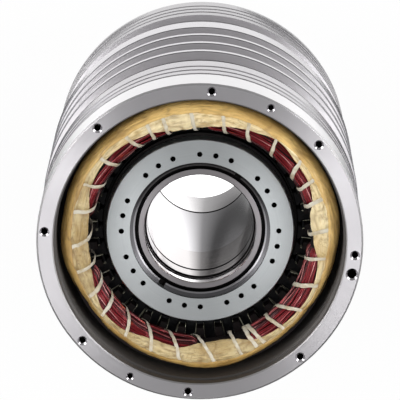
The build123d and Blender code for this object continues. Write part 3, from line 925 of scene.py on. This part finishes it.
def fold_papers():
    """All slot papers as one mesh, each a thin-walled channel with uneven ends."""
    chance = random.Random("slot papers")
    outside = channel(0.0)
    outline = outside + channel(paper_wall)[::-1]
    last = len(outline) - 1
    rows = 4
    core_rear, core_front = core_setback, length / MM - core_setback
    points, faces = [], []
    for slot in range(slot_count):
        clock = radians(90 - 360 * slot / slot_count)
        along = Vector((sin(clock), cos(clock), 0))
        across = Vector((cos(clock), -sin(clock), 0))
        cuffs = [[chance.uniform(shortest_cuff, longest_cuff) for _ in outside] for _ in ends]
        bend = [chance.uniform(-widest_bend, widest_bend) for _ in outside]
        start = len(points)
        for row in range(rows):
            for index, (radius, side) in enumerate(outline):
                corner = min(index, last - index)
                rear_cuff, front_cuff = cuffs[0][corner], cuffs[1][corner]
                heights = (core_rear - rear_cuff, core_rear, core_front, core_front + front_cuff)
                lean = bend[corner] if row in (0, rows - 1) else 0.0
                level = along * radius + across * (side + lean)
                points.append(level * MM + Vector((0, 0, heights[row] * MM)))
        faces += grid_faces(rows, len(outline), start, columns_close=True)
        top = start + (rows - 1) * len(outline)
        for corner in range(len(outside) - 1):
            rim = (corner, last - corner, last - corner - 1, corner + 1)
            faces += [[start + index for index in rim], [top + index for index in reversed(rim)]]
    piece = make_piece("slot_papers", points, faces, slot_paper, "stator")
    piece.data.polygons.foreach_set("use_smooth", [False] * len(faces))
    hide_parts("slot_liners")


fold_papers()

# %% [markdown]
# ## Flat cord loops
# The cord is a tape, thin and about three millimetres wide. Each loop follows the section round the head with
# its own lean, lies on the sheet or the wire, and disappears under the outer band. Its cross-section is a
# flat rounded strip of eight points.

# %% Tie the loops
loop_width = 3.0
cord_thickness = 0.35
cord_steps = 64
cord_turns = even_steps(tucked_outside, tucked_inside, cord_steps)
cord_wander = 0.5
cord_on_sheet, cord_on_wire, cord_sink = 0.25, -0.1, 0.45
slope_at_hem, slope_at_band = 6, 5
tape_corners = 8
tape_angles = [2 * pi * corner / tape_corners for corner in range(tape_corners)]
tape_outline = [(cos(angle), sin(angle)) for angle in tape_angles]


def cord_height(clock, turn):
    """How proud a cord lies on the sheet, under the band or on the wire."""
    on_sheet = sheet_height(clock, turn)[0]
    past_hem = clamp((turn - edge_turn(clock)) / slope_at_hem)
    under_band = clamp((band_turn(clock) - turn) / slope_at_band)
    on_wire = -wrap_thickness + cord_on_wire
    return on_sheet * (1 - past_hem) + on_wire * past_hem + cord_on_sheet - cord_sink * under_band


def tie_loops(end):
    """All cord loops of one head as one mesh."""
    chance = random.Random(f"loops {end}")
    points, faces, along, across = [], [], [], []
    for loop in loops:
        width = loop_width * chance.uniform(0.85, 1.15)
        phase = chance.uniform(0, 100)
        middles = []
        for turn in cord_turns:
            clock = loop_clock(loop, turn) + cord_wander * noise.noise(Vector((turn / 35, phase, 0)))
            radius, depth = section_point(clock, turn, cord_height(clock, turn))
            middles.append(spot(end, radius, clock, depth))
        start = len(points)
        for step, (turn, middle) in enumerate(zip(cord_turns, middles)):
            ahead = (middles[min(step + 1, cord_steps - 1)] - middles[max(step - 1, 0)]).normalized()
            inner = spot(end, section_middle_r, loop_clock(loop, turn), section_middle_depth)
            outward = (middle - inner).normalized()
            side = ahead.cross(outward).normalized()
            lift = side.cross(ahead)
            half_width = width / 2 * (1 + 0.25 * noise.noise(Vector((turn / 18, phase, 9))))
            for wide, high in tape_outline:
                reach = side * signed_power(wide, 0.6) * half_width + lift * high * cord_thickness / 2
                points.append(middle + reach * MM)
                along.append(step * 1.6)
                across.append(wide)
        faces += grid_faces(cord_steps, tape_corners, start, columns_close=True)
    marks = {"along": along, "across": across}
    piece = make_piece(f"{end}_cord_loops", points, faces, lacing_cord, "stator", marks)
    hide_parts(f"{end}_lacing")


for end in ends:
    tie_loops(end)

# %% [markdown]
# ## Floor
# The motor stands on a pale floor that fills the picture. The camera and the metal see it as almost white,
# and a share of plain paint keeps the soft shadow round the foot. Under the motor the floor has a round
# opening with a white card far below it, so that the polished bore mirrors depth.

# %% Make the floor
floor_r = 6.0
opening_r = 0.08
opening_corners = 48
white_share = 0.94
corners = []
for reach in (opening_r, floor_r):
    for corner in range(opening_corners):
        angle = 2 * pi * corner / opening_corners
        corners.append((reach * cos(angle), reach * sin(angle), 0))
floor_paint, floor_tree, floor_shader = start_material(
    "floor_paint", Base_Color=(0.85, 0.85, 0.85), Roughness=0.9, Specular_IOR_Level=0.0
)
rays = add_node(floor_tree, "LightPath").outputs
seen = calculate(floor_tree, "MAXIMUM", rays["Is Camera Ray"], rays["Is Glossy Ray"])
seen = calculate(floor_tree, "MAXIMUM", seen, rays["Is Transmission Ray"])
share = times(floor_tree, seen, white_share)
white = add_node(floor_tree, "Emission", Color=(1, 1, 1), Strength=1.0)
floor_mix = add_node(floor_tree, "MixShader", i0=share, i1=floor_shader.outputs[0], i2=white.outputs[0])
fill_inputs(floor_tree, floor_tree.nodes["Material Output"], Surface=floor_mix.outputs[0])
floor = mesh_object("floor", corners, grid_faces(2, opening_corners, columns_close=True), floor_paint)

# %% [markdown]
# ## Light
# Turned steel shows the lights as bright fans across its rings. Soft panels at three heights on each side
# give the bright sides of the front face, and the grey world between them gives the darker top and bottom. A
# fill near the camera lights the sheet and the cord, and metal doesn't mirror it. The world is darker towards
# the horizon, so that edges that mirror it stand out against the white floor.

# %% Light the scene
world = bpy.data.worlds.new("studio")
scene.world = world
world.use_nodes = True
world_tree = world.node_tree
sky_way = split(world_tree, add_node(world_tree, "TexCoord").outputs["Generated"])
sky_rise = stretch(world_tree, sky_way[2], 0.1, 1.0, 0.08, 0.5)
sky_side = stretch(world_tree, sky_way[1], -0.6, 0.4, 0.45, 1.35)
sky_level = times(world_tree, sky_rise, sky_side)
fill_inputs(world_tree, world_tree.nodes["Background"], Color=sky_level)
panel_aim = Vector((0, 0, length))
sides = ((-1, "left"), (1, "right"))


def add_panel(name, place, size, power):
    """A soft rectangular light that looks at the middle of the front face."""
    data = bpy.data.lights.new(name, "AREA")
    data.shape = "RECTANGLE"
    data.size, data.size_y = size
    data.energy = power
    lamp = bpy.data.objects.new(name, data)
    lamp.location = place
    lamp.rotation_euler = (panel_aim - Vector(place)).to_track_quat("-Z", "Y").to_euler()
    scene.collection.objects.link(lamp)
    return lamp


for side, name in sides:
    add_panel(f"{name}_panel", place=(side * 1.3, -0.25, 1.7), size=(1.4, 1.0), power=11.5)
    add_panel(f"{name}_high_panel", place=(side * 1.2, 0.25, 1.85), size=(0.5, 0.9), power=7)
    add_panel(f"{name}_low_panel", place=(side * 1.5, 1.05, 0.75), size=(0.9, 0.5), power=7)
fill = add_panel("fill_panel", place=(-0.25, 0.8, 2.3), size=(0.8, 0.8), power=10)
fill.visible_glossy = False
print("panels:", len(bpy.data.lights))

# %% [markdown]
# ## Dark cards on the floor
# A wide dark card lies on the floor on each side, with a narrow crescent at the jacket's foot. The camera
# doesn't see them, and the jacket mirrors them as dark edges.

# %% Lay the dark cards
flag_near, flag_far, flag_top, flag_height = 0.1275, 5.5, 0.09, 0.002
foot_r, foot_gap, foot_steps = 0.1255, 0.0002, 24
flag_paint = start_material("flag_paint", Base_Color=(0.03, 0.03, 0.033), Roughness=0.9)[0]
foot_paint = start_material("foot_paint", Base_Color=(0.16, 0.16, 0.165), Roughness=0.9)[0]


def add_flag(name, corners, paint):
    """A dark card on the floor that only reflections show."""
    places = [(x, y, flag_height) for x, y in corners]
    card = mesh_object(name, places, [tuple(range(len(places)))], paint)
    card.visible_camera = False
    card.visible_diffuse = False
    card.visible_shadow = False


def crescent_corners(first_clock, last_clock, widest):
    """Corners of a crescent round the foot between two clock angles, with lengths in metres."""
    inner, outer = [], []
    for step in range(foot_steps + 1):
        clock = radians(first_clock + (last_clock - first_clock) * step / foot_steps)
        reach = foot_r + foot_gap + widest * sin(pi * step / foot_steps) ** 1.5
        inner.append((foot_r * sin(clock), foot_r * cos(clock)))
        outer.append((reach * sin(clock), reach * cos(clock)))
    return inner + outer[::-1]


for side, name in sides:
    near, far = side * flag_near, side * flag_far
    corners = [(near, flag_top), (near, -flag_far), (far, -flag_far), (far, flag_top)]
    add_flag(f"floor_flag_{name}", corners, flag_paint)
add_flag("right_foot_flag", crescent_corners(14, 78, 0.016), foot_paint)
add_flag("left_foot_flag", crescent_corners(-78, -22, 0.009), foot_paint)

# %% [markdown]
# ## Cards under the bore
# The polished bore works like a tube of mirrors. Its left side shows what lies to the right below it, and
# its right side what lies to the left. A white card far under the opening makes the bright side. A darker
# card hangs close under the left half of the opening, where only reflections see it, with soft steps of
# tone. It is near enough that the foot of the bore looks past it and stays bright.

# %% Hang the cards
card_half = 1.6
white_height, shade_height = -1.6, -0.13
shade_stages = ((-0.056, -0.046, 0.2, 0.1), (-0.032, -0.004, 0.0, 0.34), (-0.004, 0.03, 0.0, 1.45))


def add_glow_card(name, height, first_x, last_x, stages, strength=1.0):
    """A glowing card under the floor. Each stage adds to its level between two places along X."""
    material, tree, _ = start_material(name)
    card_x = split(tree, own_place(tree))[0]
    level = 0.0
    for first, last, low, high in stages:
        level = calculate(tree, "ADD", level, stretch(tree, card_x, first, last, low, high))
    glow = add_node(tree, "Emission", Color=level, Strength=strength)
    fill_inputs(tree, tree.nodes["Material Output"], Surface=glow.outputs[0])
    corners = ((first_x, -card_half), (last_x, -card_half), (last_x, card_half), (first_x, card_half))
    card = mesh_object(name, [(x, y, height) for x, y in corners], [(0, 1, 2, 3)], material)
    return card


add_glow_card("white_card", white_height, -card_half, card_half, [(-1, 1, 1.0, 1.0)], strength=2.0)
shade_card = add_glow_card("shade_card", shade_height, -0.5, 0.03, shade_stages)
shade_card.visible_camera = False
